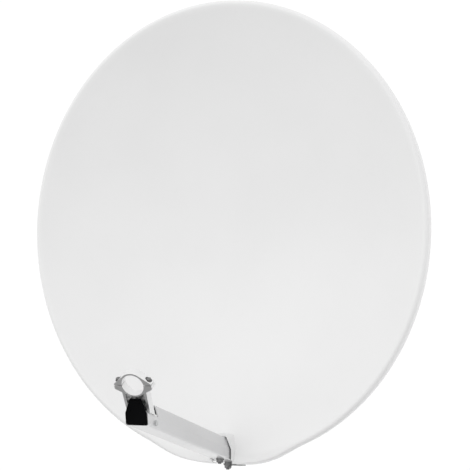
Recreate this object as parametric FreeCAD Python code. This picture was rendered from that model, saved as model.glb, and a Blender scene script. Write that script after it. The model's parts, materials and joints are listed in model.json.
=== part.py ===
import FreeCAD, Part
import math
import os

# Offset parabolic reflector antenna with a feed arm, a feed holder and a tilting mast mount.
# Row frame: millimetres, origin on the mast axis at mid clamp, +Z up along the mast, dish facing -Y.
# Dish coordinates: x to the right, v up the rim plane from the lowest rim point, n out of the face.
# Arm frame: x right, Y backwards along the arm, Z across the arm from its underside.
# Ring frame: x right, Y along the feed axis towards the dish, Z up in the plane of the ring.

Vector = FreeCAD.Vector
Rotation = FreeCAD.Rotation
Placement = FreeCAD.Placement

# Reflector
APERTURE_W = 833.0        # width of the concave face
OFFSET_ANGLE = 25.21      # between the boresight and the face's normal
SHEET = 1.6               # sheet thickness of reflector and skirt
RIM_W = 8.8               # flat lip outside the concave face
RIM_DEEP = 27.5           # depth of the skirt behind the lip
RIM_ROUND = 8.0           # rounding of the lip's outer edge
CHIN_TOP = 150.0          # half width of the chin where it leaves the rim
CHIN_TOP_V = 20.0         # height of that point
CHIN_BOTTOM = 42.0        # half width of the chin at its lowest
CHIN_BOTTOM_V = -26.0
CHIN_DROP = 4.5           # chin's underside below the arm's
NECK_STAND = 8.0          # drawn neck round the arm slot, ahead of the rim plane
NECK_WALL = 3.0
NECK_FLARE = 9.0
NECK_DEEP = 26.0

# Tilt and mast
TILT = 4.8                # backward lean of the face at rest
MAST_R = 25.0
CLAMP_LEN = 90.0
PIVOT_Y = -90.0           # pivot axis ahead of the mast axis
PIVOT_Z = -35.0
PIVOT_BEHIND = 38.0       # pivot axis behind the back plate's front
PIVOT_BELOW = 45.0        # pivot axis below the middle of the face
TILT_MIN = -15.0
TILT_MAX = 20.0

# Back plate and spine
PLATE_GAP = 18.3          # back plate behind the deepest point of the bowl
PLATE_T = 3.0
PLATE_HALF_W = 65.0
PLATE_LOW = -120.0        # ends of the plate, from the middle of the face
PLATE_HIGH = 80.0
BOSS_X = 45.0
BOSS_LOW = -90.0
BOSS_HIGH = 50.0
BOSS_R = 9.0
SPINE_HALF_W = 30.0
SPINE_T = 3.0
SPINE_LOW = -75.0
SPINE_HIGH = 62.0
LOCK_R = 60.0             # lock bolt from the pivot
LOCK_ANGLE = 35.0         # lock bolt's bearing from the dish's vertical
EAR_R = 14.0

# Yoke and jaw
CHEEK_GAP = 0.6
CHEEK_T = 3.0
FLANGE_Y = 12.0           # flange faces from the mast axis
FLANGE_T = 3.0
FLANGE_HALF_W = 58.0
CLAMP_BOLT_X = 42.0
CLAMP_BOLT_Z = 28.0
JAW_OPEN = 15.0

# Feed arm
ARM_W = 40.0
ARM_SIDE = 19.5
ARM_TOP = 20.0
ARM_TALL = 43.0
ARM_WALL = 2.0
ARM_ROOT_V = -5.7         # arm's underside where it crosses the rim plane
ARM_TAIL = 58.0           # arm's length behind the rim plane
RING_DROP = 64.3          # arm's underside below the ring's middle
ARM_SHORT = 37.3          # rear of the end cap short of the ring's middle, along the arm
CAP_LEAN = 0.43           # forward lean of the arm's front end, run over rise
CAP_T = 3.0
NOTCH_LEN = 43.0          # stretch with the roof cut away behind the front end
NOTCH_UP = 22.5
EDGING_GAP = 0.4
EDGING_T = 1.6
EDGING_FRONT = 9.5        # edging ahead of the rim plane, along the arm
EDGING_LONG = 13.0
ARM_BOLT_FRONT = 12.1     # arm bolts from the rim plane, along the arm
ARM_BOLT_REAR = -37.4
TAB_DROP = 3.3            # earth tab below the arm's underside
TAB_T = 1.5
TONGUE_T = 2.5
TONGUE_LONG = 25.0
STAY_HALF_W = 17.0

# Feed holder
FEED_R = 20.0             # clamp bore for the feed's neck
RING_WALL = 3.0
RING_LONG = 17.0
RING_PITCH = 28.2         # feed axis above the face's normal
RING_SETBACK = 32.6       # ring's outer face ahead of the focus
LUG_OUT = 5.5             # screw axis outside the ring
LUG_END = 6.0             # lug beyond the screw axis
LUG_TIP_UP = 2.5          # lug heights at the tip, from the split plane
LUG_TIP_DOWN = 7.5
SCREW_SEAT = 4.0
NUT_SEAT = 6.5
SPLIT = 1.2               # gap between the ring's halves
LEG_IN = 0.5              # legs' outer faces inside the ring's outer radius
LEG_TAPER = 2.0
LEG_T = 4.5
HOLDER_BOLT_BACK = 30.0   # holder's cross bolt behind the arm's front
HOLDER_BOLT_UP = 10.0
SCREW_END = 1.5           # shank beyond a nut

# Fasteners: nominal radius, half of the head across flats, head height
M10 = (5.0, 8.0, 6.4)
M8 = (4.0, 6.5, 5.3)
M6 = (3.0, 5.0, 4.0)
M5 = (2.5, 4.0, 3.5)
HOLE_CLEAR = 0.4
RUN_CLEAR = 0.05
WASHER_T = 1.6
PLAY = 0.3
BIG = 60.0                # reach of tools that cut right through the arm or the holder

THETA = math.radians(OFFSET_ANGLE)
APERTURE_H = APERTURE_W / math.cos(THETA)
FOCAL = APERTURE_W / (4.0 * math.tan(THETA))
BOWL_DEEP = APERTURE_W * math.sin(THETA) / 4.0
PLATE_N = -(BOWL_DEEP + PLATE_GAP)
PITCH = math.radians(RING_PITCH)
RING_V = FOCAL * math.sin(THETA) - RING_SETBACK * math.sin(PITCH)
RING_N = FOCAL * math.cos(THETA) + RING_SETBACK * math.cos(PITCH)
ARM_SLOPE = math.atan((RING_V - RING_DROP - ARM_ROOT_V) / RING_N)
PIVOT_LOCAL = Vector(0, -PLATE_N + PIVOT_BEHIND, -PIVOT_BELOW)
RING_OUTER = FEED_R + RING_WALL
LUG_X = RING_OUTER + LUG_OUT
LUG_TIP = LUG_X + LUG_END
LEG_X_TOP = RING_OUTER - LEG_IN
X_AXIS = Vector(1, 0, 0)
Y_AXIS = Vector(0, 1, 0)
Z_AXIS = Vector(0, 0, 1)


def at(x, v, n):
    """Point of the dish from its rim-plane coordinates."""
    return Vector(x, -n, v - APERTURE_H / 2.0)


def row_place():
    """Placement that carries the dish to its rest pose on the mast."""
    turn = Rotation(X_AXIS, -TILT)
    return Placement(Vector(0, PIVOT_Y, PIVOT_Z) - turn.multVec(PIVOT_LOCAL), turn)


def arm_place():
    return Placement(at(0, ARM_ROOT_V, 0), Rotation(X_AXIS, -math.degrees(ARM_SLOPE)))


def ring_place():
    return Placement(at(0, RING_V, RING_N), Rotation(X_AXIS, RING_PITCH))


def moved(shape, place):
    """Copy of a shape carried through a placement."""
    result = shape.copy()
    result.Placement = place.multiply(result.Placement)
    return result


def box(x0, x1, y0, y1, z0, z1):
    return Part.makeBox(x1 - x0, y1 - y0, z1 - z0, Vector(x0, y0, z0))


def both_sides(shape):
    return [shape, shape.mirror(Vector(0, 0, 0), X_AXIS)]


def join(shapes):
    result = shapes[0]
    if len(shapes) > 1:
        result = result.multiFuse(shapes[1:])
    return result.removeSplitter()


def group(shapes):
    """Separate solids kept together as one piece."""
    solids = []
    for shape in shapes:
        solids += shape.Solids
    return Part.makeCompound(solids)


def rod(centre, axis, radius, length):
    return Part.makeCylinder(radius, length, centre, axis)


def tube(centre, axis, inner, outer, length):
    return rod(centre, axis, outer, length).cut(rod(centre, axis, inner, length))


def rounded_face(points, radii, lift):
    """Flat face from corner points with rounded corners; lift turns a pair of numbers to a point."""
    edges = []
    starts = []
    ends = []
    count = len(points)
    for i in range(count):
        here = Vector(points[i][0], points[i][1], 0)
        before = Vector(points[i - 1][0], points[i - 1][1], 0) - here
        after_point = points[(i + 1) % count]
        after = Vector(after_point[0], after_point[1], 0) - here
        half = before.getAngle(after) / 2.0
        reach = radii[i] / math.tan(half)
        before.normalize()
        after.normalize()
        first = here + before * reach
        last = here + after * reach
        if radii[i] > 0:
            bisector = before + after
            bisector.normalize()
            middle = here + bisector * (radii[i] / math.sin(half) - radii[i])
            edges.append(Part.Arc(lift(first), lift(middle), lift(last)).toShape())
        starts.append(first)
        ends.append(last)
    for i in range(count):
        start = ends[i]
        stop = starts[(i + 1) % count]
        if start.distanceToPoint(stop) > 1e-6:
            edges.append(Part.makeLine(lift(start), lift(stop)))
    return Part.Face(Part.Wire(Part.__sortEdges__(edges)))


def side_plate(points, radii, x0, x1):
    """Plate across X from an outline in (y, z)."""
    face = rounded_face(points, radii, lambda p: Vector(x0, p.x, p.y))
    return face.extrude(Vector(x1 - x0, 0, 0))


def front_plate(points, radii, y0, y1):
    """Plate along Y from an outline in (x, z)."""
    face = rounded_face(points, radii, lambda p: Vector(p.x, y0, p.y))
    return face.extrude(Vector(0, y1 - y0, 0))


def hexagon(centre, axis, half_flats, height):
    """Six-sided prism with its corners chamfered round the end away from the centre."""
    across = half_flats / math.cos(math.radians(30))
    corners = [Vector(across * math.cos(math.radians(60 * i)), across * math.sin(math.radians(60 * i)), 0)
               for i in range(7)]
    prism = Part.Face(Part.makePolygon(corners)).extrude(Vector(0, 0, height))
    crown = Part.makeCone(across + 0.4 * height, half_flats * 0.95, height, Vector(0, 0, 0), Z_AXIS)
    crown = crown.fuse(rod(Vector(0, 0, 0), Z_AXIS, across * 1.1, height * 0.7))
    return moved(prism.common(crown), Placement(centre, Rotation(Z_AXIS, axis)))


def hex_bolt(seat, axis, size, length):
    """Bolt whose head stands on the seat against the axis and whose shank runs along it."""
    radius, half_flats, height = size
    head = hexagon(seat, axis * -1.0, half_flats, height)
    shank = rod(seat, axis, radius, length)
    end = Part.makeCone(radius, radius * 0.8, radius * 0.3, seat + axis * length, axis)
    return join([head, shank, end])


def hex_nut(seat, axis, size):
    """Nut standing on the seat along the axis."""
    radius, half_flats, height = size
    return hexagon(seat, axis, half_flats, height).cut(rod(seat, axis, radius + RUN_CLEAR, height))


def washer(seat, axis, size):
    radius, half_flats = size[0], size[1]
    return tube(seat, axis, radius + HOLE_CLEAR / 2, half_flats * 1.3, WASHER_T)


def ellipse_prism(grow, n0, n1):
    """Prism over the rim ellipse grown by an amount, between two depths."""
    wide = APERTURE_W / 2.0 + grow
    tall = APERTURE_H / 2.0 + grow
    mid = APERTURE_H / 2.0
    curve = Part.Ellipse(at(0, mid + tall, n0), at(wide, mid, n0), at(0, mid, n0))
    face = Part.Face(Part.Wire(curve.toShape()))
    return face.extrude(Vector(0, n0 - n1, 0))


def rounded_rim(grow, n0, n1, radius):
    """The prism with its front edge rounded."""
    prism = ellipse_prism(grow, n0, n1)
    front = [e for e in prism.Edges if abs(e.BoundBox.YMax + n1) < 1e-3 and abs(e.BoundBox.YMin + n1) < 1e-3]
    return prism.makeFillet(radius, front)


def bowl_fill(back):
    """Everything inside the paraboloid, set back along the boresight: an exact quadratic patch, extruded."""
    half = APERTURE_W * 0.6
    low, high = -APERTURE_W * 0.08, APERTURE_W * 1.12
    across = (-half, 0.0, half)
    across_z = (half * half, -half * half, half * half)
    along = (low, (low + high) / 2.0, high)
    along_z = (low * low, low * high, high * high)
    boresight = Vector(0, -math.cos(THETA), math.sin(THETA))
    along_axis = Vector(0, math.sin(THETA), math.cos(THETA))
    origin = at(0, 0, 0) - boresight * back
    patch = Part.BezierSurface()
    patch.increase(2, 2)
    for i in range(3):
        for j in range(3):
            height = (across_z[i] + along_z[j]) / (4.0 * FOCAL)
            pole = origin + X_AXIS * across[i] + along_axis * along[j] + boresight * height
            patch.setPole(i + 1, j + 1, pole)
    return patch.toShape().extrude(boresight * (APERTURE_W * 0.9))


def house_outline(inset):
    """Corner points of the arm's section, moved inwards by an amount."""
    side, top = ARM_W / 2.0, ARM_TOP / 2.0
    slope_x, slope_z = side - top, ARM_TALL - ARM_SIDE
    length = math.hypot(slope_x, slope_z)
    normal_x, normal_z = slope_z / length, slope_x / length
    level = normal_x * side + normal_z * ARM_SIDE - inset
    shoulder_z = (level - normal_x * (side - inset)) / normal_z
    top_x = (level - normal_z * (ARM_TALL - inset)) / normal_x
    right = [(side - inset, inset), (side - inset, shoulder_z), (top_x, ARM_TALL - inset)]
    return right + [(-x, z) for x, z in reversed(right)]


def house_width(up):
    """Half width of the arm's section at a height above its underside."""
    return ARM_W / 2.0 - (up - ARM_SIDE) * (ARM_W - ARM_TOP) / 2.0 / (ARM_TALL - ARM_SIDE)


def house(inset, y0, y1, drop=0.0):
    """Prism of the arm's section in the arm frame; drop lowers its underside."""
    points = house_outline(inset)
    points[0] = (points[0][0], points[0][1] - drop)
    points[-1] = (points[-1][0], points[-1][1] - drop)
    corner = max(0.8, 3.0 - inset)
    return front_plate(points, [corner] * len(points), y0, y1)


def chin(inset):
    """Flat-bottomed block under the rim, its underside in line with the arm's."""
    points = [(-CHIN_TOP + inset, CHIN_TOP_V), (-CHIN_BOTTOM + inset, CHIN_BOTTOM_V),
              (CHIN_BOTTOM - inset, CHIN_BOTTOM_V), (CHIN_TOP - inset, CHIN_TOP_V)]
    outline = [(x, v - APERTURE_H / 2.0) for x, v in points]
    rear = RIM_DEEP + inset * 20.0
    block = front_plate(outline, [0.0, 0.0, 0.0, 0.0], inset, rear)
    reach = APERTURE_W / 2.0
    above = moved(box(-reach, reach, -reach, reach, inset - CHIN_DROP, reach), arm_place())
    return block.common(above)


def neck(inset):
    """Drawn neck round the arm slot: wide at the bowl, narrow at its front."""
    sections = []
    for grow, depth in ((NECK_WALL, -NECK_STAND), (NECK_WALL + NECK_FLARE, NECK_DEEP + 20.0 * inset)):
        wide = EDGING_GAP + EDGING_T + grow - inset
        points = house_outline(-wide)
        points[0] = (points[0][0], inset)
        points[-1] = (points[-1][0], inset)
        shift = ARM_ROOT_V - depth * math.tan(ARM_SLOPE) - APERTURE_H / 2.0
        lift = (lambda p, y=depth + inset, dz=shift: Vector(p.x, y, p.y + dz))
        sections.append(rounded_face(points, [0.5, 9.0, 9.0, 9.0, 9.0, 0.5], lift).OuterWire)
    return Part.makeLoft(sections, True, True)


def reflector():
    """Pressed sheet: concave face, rounded lip, skirt, chin and arm slot, hollow behind."""
    depth = BOWL_DEEP + 30.0
    outside = rounded_rim(RIM_W, -RIM_DEEP, 0.0, RIM_ROUND).fuse(ellipse_prism(0.0, -depth, 0.0))
    outside = outside.fuse(chin(0.0))
    face_void = bowl_fill(0.0).common(ellipse_prism(0.0, -depth, 60.0))
    rear_void = rounded_rim(RIM_W - SHEET, -depth - 20.0, -SHEET, RIM_ROUND - SHEET).cut(bowl_fill(SHEET))
    body = outside.cut(face_void).fuse(neck(0.0))
    body = body.cut(rear_void.fuse(chin(SHEET))).cut(neck(SHEET))
    slot = moved(house(-EDGING_GAP - EDGING_T, -40.0, 70.0, 30.0), arm_place())
    body = body.cut(slot)
    return max(body.Solids, key=lambda s: s.Volume)


def slot_edging():
    """Rubber strip round the slot, open at the arm's underside."""
    rear = EDGING_LONG - EDGING_FRONT
    outer = house(-EDGING_GAP - EDGING_T, -EDGING_FRONT, rear)
    inner = house(-EDGING_GAP, -EDGING_FRONT, rear, 10.0)
    strip = outer.cut(inner).cut(box(-BIG, BIG, -BIG, BIG, -BIG, EDGING_GAP))
    return moved(strip, arm_place())


def boss_centres():
    return [(x, z) for x in (-BOSS_X, BOSS_X) for z in (BOSS_LOW, BOSS_HIGH)]


def plate_bosses():
    """Welded stand-offs between the bowl's rear and the back plate."""
    blind = PLATE_GAP - 4.0
    keep_off = bowl_fill(SHEET + 0.15)
    bosses = []
    for x, z in boss_centres():
        start = Vector(x, -PLATE_N, z)
        boss = rod(start, Vector(0, -1, 0), BOSS_R, PLATE_GAP + 25.0).cut(keep_off)
        bosses.append(boss.cut(rod(start, Vector(0, -1, 0), M8[0] + RUN_CLEAR, blind)))
    return group(bosses)


def rivet_centres():
    return [(x, z) for x in (-15.0, 15.0) for z in (SPINE_LOW + 35.0, SPINE_HIGH - 15.0)]


def stay_bolt_heights():
    return (PLATE_LOW + 12.0, PLATE_LOW + 32.0)


def back_plate():
    """Flat plate that carries the spine and the stay."""
    half = PLATE_HALF_W
    outline = [(-half, PLATE_LOW), (half, PLATE_LOW), (half, PLATE_HIGH), (-half, PLATE_HIGH)]
    plate = front_plate(outline, [12.0] * 4, -PLATE_N, -PLATE_N + PLATE_T)
    back = Y_AXIS
    for x, z in boss_centres():
        plate = plate.cut(rod(Vector(x, -PLATE_N, z), back, M8[0] + HOLE_CLEAR, PLATE_T))
    for x, z in rivet_centres():
        plate = plate.cut(rod(Vector(x, -PLATE_N, z), back, M6[0] + RUN_CLEAR, PLATE_T))
    for z in stay_bolt_heights():
        plate = plate.cut(rod(Vector(0, -PLATE_N, z), back, M8[0] + HOLE_CLEAR, PLATE_T))
    return plate


def plate_bolts():
    seat = -PLATE_N + PLATE_T + WASHER_T
    length = PLATE_GAP - 6.0 + PLATE_T + WASHER_T
    return group([hex_bolt(Vector(x, seat, z), Vector(0, -1, 0), M8, length) for x, z in boss_centres()])


def plate_washers():
    seat = -PLATE_N + PLATE_T
    return group([washer(Vector(x, seat, z), Y_AXIS, M8) for x, z in boss_centres()])


def lock_point():
    angle = math.radians(LOCK_ANGLE)
    return PIVOT_LOCAL + Vector(0, LOCK_R * math.sin(angle), LOCK_R * math.cos(angle))


def spine_channel():
    """Channel behind the plate whose cheeks turn about the pivot."""
    front = -PLATE_N + PLATE_T
    web = box(-SPINE_HALF_W, SPINE_HALF_W, front, front + SPINE_T, SPINE_LOW, SPINE_HIGH)
    for x, z in rivet_centres():
        web = web.cut(rod(Vector(x, front, z), Y_AXIS, M6[0] + RUN_CLEAR, SPINE_T))
    lock = lock_point()
    pivot = PIVOT_LOCAL
    outline = [(front, SPINE_LOW), (pivot.y + EAR_R, SPINE_LOW + 8.0),
               (pivot.y + EAR_R + 2.0, pivot.z + 12.0),
               (lock.y + EAR_R, lock.z - 10.0), (lock.y + EAR_R, lock.z + EAR_R),
               (lock.y - EAR_R, lock.z + EAR_R + 8.0), (front + 10.0, SPINE_HIGH), (front, SPINE_HIGH)]
    radii = [0.0, 12.0, 6.0, 10.0, 12.0, 10.0, 6.0, 0.0]
    cheek = side_plate(outline, radii, SPINE_HALF_W - SPINE_T, SPINE_HALF_W)
    through = SPINE_HALF_W * 2.0
    cheek = cheek.cut(rod(Vector(0, pivot.y, pivot.z), X_AXIS, M10[0] + RUN_CLEAR, through))
    cheek = cheek.cut(rod(Vector(0, lock.y, lock.z), X_AXIS, M8[0] + RUN_CLEAR, through))
    return join([web] + both_sides(cheek))


def spine_rivets():
    """Round-headed rivets through plate and spine."""
    front = -PLATE_N
    stack = PLATE_T + SPINE_T
    rivets = []
    for x, z in rivet_centres():
        shank = rod(Vector(x, front, z), Y_AXIS, M6[0], stack)
        head = Part.makeCone(5.5, 3.5, 2.2, Vector(x, front, z), Vector(0, -1, 0))
        tail = Part.makeCone(5.5, 3.5, 2.2, Vector(x, front + stack, z), Y_AXIS)
        rivets.append(join([shank, head, tail]))
    return group(rivets)


def pivot_sleeve():
    """Spacer tube that keeps the spine's cheeks apart at the pivot."""
    half = SPINE_HALF_W - SPINE_T
    return tube(PIVOT_LOCAL - X_AXIS * half, X_AXIS, M10[0] + RUN_CLEAR, M10[0] + 3.0, half * 2.0)


def cheek_outside():
    return SPINE_HALF_W + CHEEK_GAP + CHEEK_T


def lock_bolt():
    lock = lock_point()
    face = cheek_outside() + PLAY + WASHER_T
    return hex_bolt(Vector(face, lock.y, lock.z), X_AXIS * -1.0, M8, face * 2.0 + M8[2] + 5.0)


def lock_washers():
    lock = lock_point()
    face = cheek_outside() + PLAY
    return group(both_sides(washer(Vector(face, lock.y, lock.z), X_AXIS, M8)))


def lock_nut():
    lock = lock_point()
    face = cheek_outside() + PLAY + WASHER_T
    return hex_nut(Vector(-face, lock.y, lock.z), X_AXIS * -1.0, M8)


def arm_point(along, up):
    """Dish (n, v) of a point of the arm's middle plane."""
    n = along * math.cos(ARM_SLOPE) - up * math.sin(ARM_SLOPE)
    v = ARM_ROOT_V + along * math.sin(ARM_SLOPE) + up * math.cos(ARM_SLOPE)
    return n, v


def bar(start, end, x0, x1, low, high):
    """Bar along a line in (n, v), between two offsets behind it, across X."""
    run_n, run_v = end[0] - start[0], end[1] - start[1]
    length = math.hypot(run_n, run_v)
    side_n, side_v = -abs(run_v) / length, run_n / length * (1.0 if run_v < 0 else -1.0)
    corners = []
    for point, offset in ((start, low), (end, low), (end, high), (start, high)):
        corners.append(at(x0, point[1] + side_v * offset, point[0] + side_n * offset))
    return Part.Face(Part.makePolygon(corners + corners[:1])).extrude(Vector(x1 - x0, 0, 0))


def stay_points():
    """Bends of the stay's middle line in (n, v)."""
    mid = APERTURE_H / 2.0
    plate = PLATE_N - PLATE_T - TONGUE_T / 2.0
    up = ARM_WALL + 0.2 + TONGUE_T / 2.0
    return [(plate, mid + PLATE_LOW + 42.0), (plate, mid + PLATE_LOW - 6.0),
            arm_point(-ARM_TAIL - 8.0, up), arm_point(TONGUE_LONG, up)]


def lower_stay():
    """Bent channel from the back plate down to a tongue inside the arm's tail."""
    points = stay_points()
    half = TONGUE_T / 2.0
    pieces = []
    for start, end in zip(points[:-1], points[1:]):
        pieces.append(bar(start, end, -STAY_HALF_W, STAY_HALF_W, -half, half))
    for n, v in points[1:-1]:
        pieces.append(rod(at(-STAY_HALF_W, v, n), X_AXIS, half, STAY_HALF_W * 2.0))
    top, bottom = points[1], points[2]
    low = (bottom[0] + (top[0] - bottom[0]) * 0.08, bottom[1] + (top[1] - bottom[1]) * 0.08)
    high = (top[0] + (bottom[0] - top[0]) * 0.04, top[1] + (bottom[1] - top[1]) * 0.04)
    pieces += both_sides(bar(high, low, STAY_HALF_W - TONGUE_T, STAY_HALF_W, 0.0, 20.0))
    stay = join(pieces)
    for z in stay_bolt_heights():
        stay = stay.cut(rod(Vector(0, -PLATE_N, z), Y_AXIS, M8[0] + HOLE_CLEAR, 30.0))
    return stay.cut(group(arm_bolt_holes(M8[0] + HOLE_CLEAR)))


def stay_bolts():
    seat = -PLATE_N + PLATE_T + TONGUE_T
    length = PLATE_T + TONGUE_T + WASHER_T + M8[2] + 1.5
    return group([hex_bolt(Vector(0, seat, z), Vector(0, -1, 0), M8, length) for z in stay_bolt_heights()])


def stay_nuts():
    seat = -PLATE_N - WASHER_T
    nuts = [hex_nut(Vector(0, seat, z), Vector(0, -1, 0), M8) for z in stay_bolt_heights()]
    washers = [washer(Vector(0, -PLATE_N, z), Vector(0, -1, 0), M8) for z in stay_bolt_heights()]
    return group(nuts + washers)


def arm_bolt_holes(radius):
    up = Z_AXIS
    return [moved(rod(Vector(0, -along, -10), up, radius, 25.0), arm_place())
            for along in (ARM_BOLT_FRONT, ARM_BOLT_REAR)]


def arm_front():
    """Arm's length ahead of the rim plane at its underside, up to the rear of the end cap."""
    v, n = RING_V - ARM_ROOT_V, RING_N
    along = v * math.sin(ARM_SLOPE) + n * math.cos(ARM_SLOPE)
    return along - ARM_SHORT


def lean_slab(start, thickness):
    """Slab across the arm that leans forward like its front end."""
    low, high = -BIG / 3.0, BIG
    front, rear = -start - thickness, -start
    points = [(front - CAP_LEAN * low, low), (rear - CAP_LEAN * low, low),
              (rear - CAP_LEAN * high, high), (front - CAP_LEAN * high, high)]
    return side_plate(points, [0.0] * 4, -BIG, BIG)


def feed_arm():
    """Hollow house-shaped arm, its roof cut away at the front."""
    front = arm_front()
    body = house(0.0, -front - 40.0, ARM_TAIL).cut(house(ARM_WALL, -front - 41.0, ARM_TAIL + 1.0))
    body = body.cut(lean_slab(front, 80.0))
    body = body.cut(box(-60, 60, -front - 60.0, -front + NOTCH_LEN, NOTCH_UP, 80.0))
    body = moved(body, arm_place()).cut(group(arm_bolt_holes(M8[0] + HOLE_CLEAR)))
    return body.cut(moved(holder_bolt_hole(), arm_place()))


def arm_end_cap():
    """Black plug with a bevelled house-shaped face."""
    front = arm_front()
    face = house(0.2, -front - BIG, -front + BIG / 3.0).common(lean_slab(front + 0.1, CAP_T))
    inner = house(ARM_WALL + 0.3, -front - BIG, BIG - front)
    below_notch = box(-BIG, BIG, -front - BIG, BIG - front, 0.0, NOTCH_UP - 4.0)
    plug = inner.common(lean_slab(front - 9.0, 9.1)).common(below_notch)
    hollow = house(ARM_WALL + 2.3, -front - BIG, BIG - front).common(lean_slab(front - 10.0, 8.5))
    clip = box(4.0, 8.0, -front - CAP_LEAN * 40.0 + 0.1, -front - CAP_LEAN * 40.0 + 5.0, 35.0, 38.0)
    return moved(join([face, plug.cut(hollow), clip]), arm_place())


def arm_bolt_stacks():
    """Each arm bolt's place along the arm and what lies between the arm and its washer."""
    return ((ARM_BOLT_FRONT, 0.0), (ARM_BOLT_REAR, TAB_DROP + TAB_T))


def arm_bolts():
    """Bolts with their heads inside the arm, on the tongue."""
    seat = ARM_WALL + 0.2 + TONGUE_T
    bolts = []
    for along, stack in arm_bolt_stacks():
        length = seat + stack + WASHER_T + M8[2] + SCREW_END
        bolts.append(hex_bolt(Vector(0, -along, seat), Vector(0, 0, -1), M8, length))
    return moved(group(bolts), arm_place())


def arm_nuts():
    """Washers and nuts under the arm, the rear pair below a spacer and the earth tab."""
    down = Vector(0, 0, -1)
    spacer = tube(Vector(0, -ARM_BOLT_REAR, -TAB_DROP), Z_AXIS, M8[0] + HOLE_CLEAR / 2, M8[1] + 1.0, TAB_DROP)
    pieces = [spacer]
    for along, stack in arm_bolt_stacks():
        pieces.append(washer(Vector(0, -along, -stack), down, M8))
        pieces.append(hex_nut(Vector(0, -along, -stack - WASHER_T), down, M8))
    return moved(group(pieces), arm_place())


def earth_tab():
    """Earthing plate held by the rear arm bolt behind the skirt, reaching to the right."""
    y0, y1 = 31.0, 48.0
    low = -TAB_DROP - TAB_T
    points = [(-9.0, y0), (38.0, y0), (38.0, y0 + 9.0), (20.0, y1), (-9.0, y1)]
    face = rounded_face(points, [3.0, 2.0, 4.0, 4.0, 3.0], lambda p: Vector(p.x, p.y, low))
    tab = face.extrude(Z_AXIS * TAB_T)
    tab = tab.cut(rod(Vector(0, -ARM_BOLT_REAR, low), Z_AXIS, M8[0] + HOLE_CLEAR, TAB_T))
    tab = tab.cut(rod(Vector(30.0, y0 + 5.0, low), Z_AXIS, M5[0] + HOLE_CLEAR, TAB_T))
    return moved(tab, arm_place())


def holder_bolt_y():
    return HOLDER_BOLT_BACK - arm_front()


def holder_bolt_hole():
    return rod(Vector(-ARM_W, holder_bolt_y(), HOLDER_BOLT_UP), X_AXIS, M5[0] + HOLE_CLEAR / 2, ARM_W * 2.0)


def lug_outline(sign):
    """Half eye in the ring plane: lug tip and straight flank to the ring."""
    tip = LUG_TIP_UP if sign > 0 else LUG_TIP_DOWN
    touch = math.atan2(tip, LUG_TIP) + math.acos(RING_OUTER / math.hypot(LUG_TIP, tip))
    flank = (RING_OUTER * math.cos(touch), RING_OUTER * math.sin(touch))
    right = [(LUG_TIP, SPLIT / 2.0), (LUG_TIP, tip), flank]
    left = [(-x, z) for x, z in reversed(right)]
    return [(x, sign * z) for x, z in right + left]


def half_ring(sign):
    """One half of the split clamp ring: eye-shaped outline, bosses and spot faces for its screws."""
    middle = RING_LONG / 2.0
    up = Vector(0, 0, sign)
    seat = SCREW_SEAT if sign > 0 else NUT_SEAT
    ring = rod(Vector(0, 0, 0), Y_AXIS, RING_OUTER, RING_LONG)
    low, high = sorted((sign * SPLIT / 2.0, sign * BIG))
    corner = min(1.0, LUG_TIP_UP / 3.0)
    lugs = front_plate(lug_outline(sign), [corner, corner, 0.0, 0.0, corner, corner], 0.0, RING_LONG)
    body = join([ring.common(box(-BIG, BIG, -1, RING_LONG + 1, low, high)), lugs])
    boss = M5[1] * 1.3
    for x in (-LUG_X, LUG_X):
        body = body.cut(rod(Vector(x, middle, sign * seat), up, boss + PLAY, BIG))
        body = body.fuse(rod(Vector(x, middle, sign * SPLIT / 2.0), up, boss, seat - SPLIT / 2.0))
    body = body.cut(rod(Vector(0, -1, 0), Y_AXIS, FEED_R, RING_LONG + 2.0))
    for x in (-LUG_X, LUG_X):
        body = body.cut(rod(Vector(x, middle, -BIG), Z_AXIS, M5[0] + HOLE_CLEAR, BIG * 2.0))
    return body.removeSplitter()


def lnb_holder():
    """Lower half ring on two legs, with a block that plugs into the arm's front."""
    depth = RING_LONG
    low = -(RING_DROP + 30.0)
    leg = front_plate([(LEG_X_TOP - LEG_T, -8.0), (LEG_X_TOP, -8.0), (LEG_X_TOP - LEG_TAPER, low),
                       (LEG_X_TOP - LEG_TAPER - LEG_T, low)], [0.0] * 4, 0.0, depth)
    web = box(-LEG_X_TOP + 1.5, LEG_X_TOP - 1.5, depth - 6.0, depth - 2.0, low, -18.0)
    ribs = box(-LEG_X_TOP + 3.0, LEG_X_TOP - 3.0, 2.0, depth, -30.0, -27.0)
    ribs = ribs.cut(box(-10.0, 10.0, -5.0, depth + 5.0, -40.0, -20.0))
    spine = box(-2.0, 2.0, depth - 12.0, depth, low, -22.0)
    bore = rod(Vector(0, -1, 0), Y_AXIS, FEED_R, depth + 2.0)
    upper = join([half_ring(-1)] + both_sides(leg) + [web, ribs, spine]).cut(bore)
    upper = moved(upper, ring_place())
    front = arm_front()
    above = moved(box(-100, 100, -front - 80.0, 100 - front, NOTCH_UP + 0.2, 150.0), arm_place())
    cap_room = house(-PLAY, -front - BIG, BIG - front).common(lean_slab(front - 0.2, BIG))
    upper = upper.common(above).cut(moved(cap_room, arm_place()))
    half = ARM_W / 2.0 - ARM_WALL - 0.3
    plug = house(ARM_WALL + 0.3, -front + 14.0, -front + 42.0)
    plug = plug.common(box(-half, half, -front, -front + 60.0, 0.0, NOTCH_UP + 0.2))
    plug = plug.cut(box(-half + 3, half - 3, -front + 17.0, -front + 39.0, ARM_WALL + 3.0, NOTCH_UP - 3.0))
    half = house_width(NOTCH_UP) - ARM_WALL - 0.3
    saddle = box(-half, half, -front - 6.0, -front + 42.0, NOTCH_UP - 1.0, NOTCH_UP + 3.2)
    saddle = saddle.cut(lean_slab(front - 0.2, 60.0))
    lower = moved(join([plug, saddle]), arm_place())
    holder = join([upper, lower])
    return holder.cut(moved(holder_bolt_hole(), arm_place()))


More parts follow.
